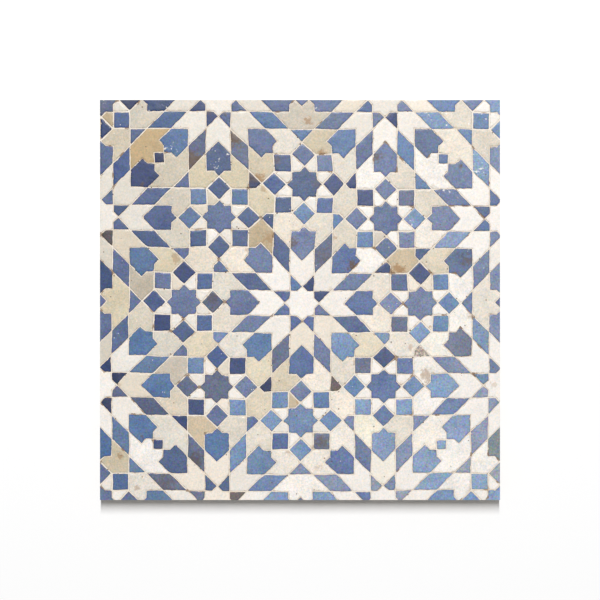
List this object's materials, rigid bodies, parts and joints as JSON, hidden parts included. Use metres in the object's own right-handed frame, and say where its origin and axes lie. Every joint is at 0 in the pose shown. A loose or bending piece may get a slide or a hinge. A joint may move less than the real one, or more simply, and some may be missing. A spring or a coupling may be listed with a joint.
{
  "type": "mosaic tile panel",
  "caption": "Square wall panel of hand-cut glazed terracotta pieces in an eight-fold star pattern, set in a mortar bed, for facing a wall or table.",
  "frame": {"origin": "middle of the panel's flat back, on the surface it lies on", "axes": "+Z out of the glazed face, +Y towards the panel's top edge as it hangs on a wall, +X towards its right edge"},
  "size_m": [0.6, 0.6, 0.025],
  "materials": {
    "mortar": "rough cement mortar",
    "blue_glaze": "uneven cobalt glaze on terracotta",
    "white_glaze": "uneven white glaze on terracotta",
    "cream_glaze": "uneven cream glaze on terracotta"
  },
  "bodies": {
    "root": {"mortar_bed": "mortar", "white_stars": "white_glaze", "blue_stars": "blue_glaze", "blue_kites": "blue_glaze", "white_kites": "white_glaze", "white_arrows": "white_glaze", "blue_lozenges": "blue_glaze", "blue_lanterns": "blue_glaze", "cream_wings_left": "cream_glaze", "cream_wings_right": "cream_glaze", "cream_shields": "cream_glaze", "blue_squares": "blue_glaze", "small_blue_squares": "blue_glaze", "blue_triangles": "blue_glaze", "cream_saddles": "cream_glaze"}
  },
  "joints": []
}
